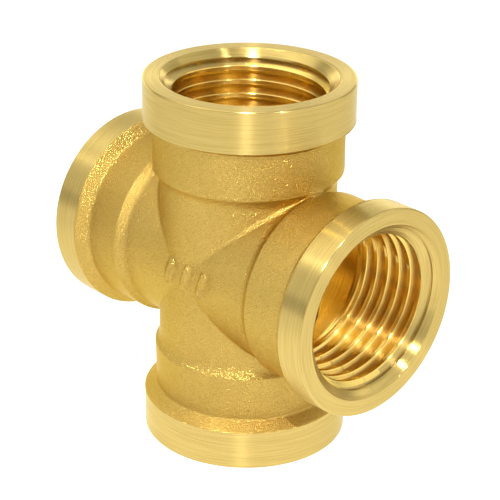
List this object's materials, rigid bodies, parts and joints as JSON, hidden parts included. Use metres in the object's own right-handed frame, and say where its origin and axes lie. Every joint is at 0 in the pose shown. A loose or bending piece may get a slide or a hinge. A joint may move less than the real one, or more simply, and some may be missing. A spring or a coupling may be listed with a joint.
{
  "type": "pipe cross fitting",
  "caption": "Equal cross fitting in cast brass with four female threaded ports in one plane, each with a turned rim collar, joining pipes at right angles.",
  "frame": {"origin": "the point where the two bore axes cross, at the middle of the fitting", "axes": "+Z along the longer pair of arms, towards the top port; +X along the shorter pair, towards the front port; Y is square to the plane of the four ports, with the raised mark on the -Y side"},
  "size_m": [0.045, 0.0262, 0.0472],
  "materials": {
    "cast_brass": "as cast, fine blasted grain, satin",
    "turned_brass": "bright turned, fine lathe lines",
    "threaded_brass": "bright cut thread"
  },
  "bodies": {
    "root": {"cross_hub": "cast_brass", "top_socket": "cast_brass", "top_collar": "turned_brass", "top_thread": "threaded_brass", "bottom_socket": "cast_brass", "bottom_collar": "turned_brass", "bottom_thread": "threaded_brass", "front_socket": "cast_brass", "front_collar": "turned_brass", "front_thread": "threaded_brass", "rear_socket": "cast_brass", "rear_collar": "turned_brass", "rear_thread": "threaded_brass"}
  },
  "joints": []
}
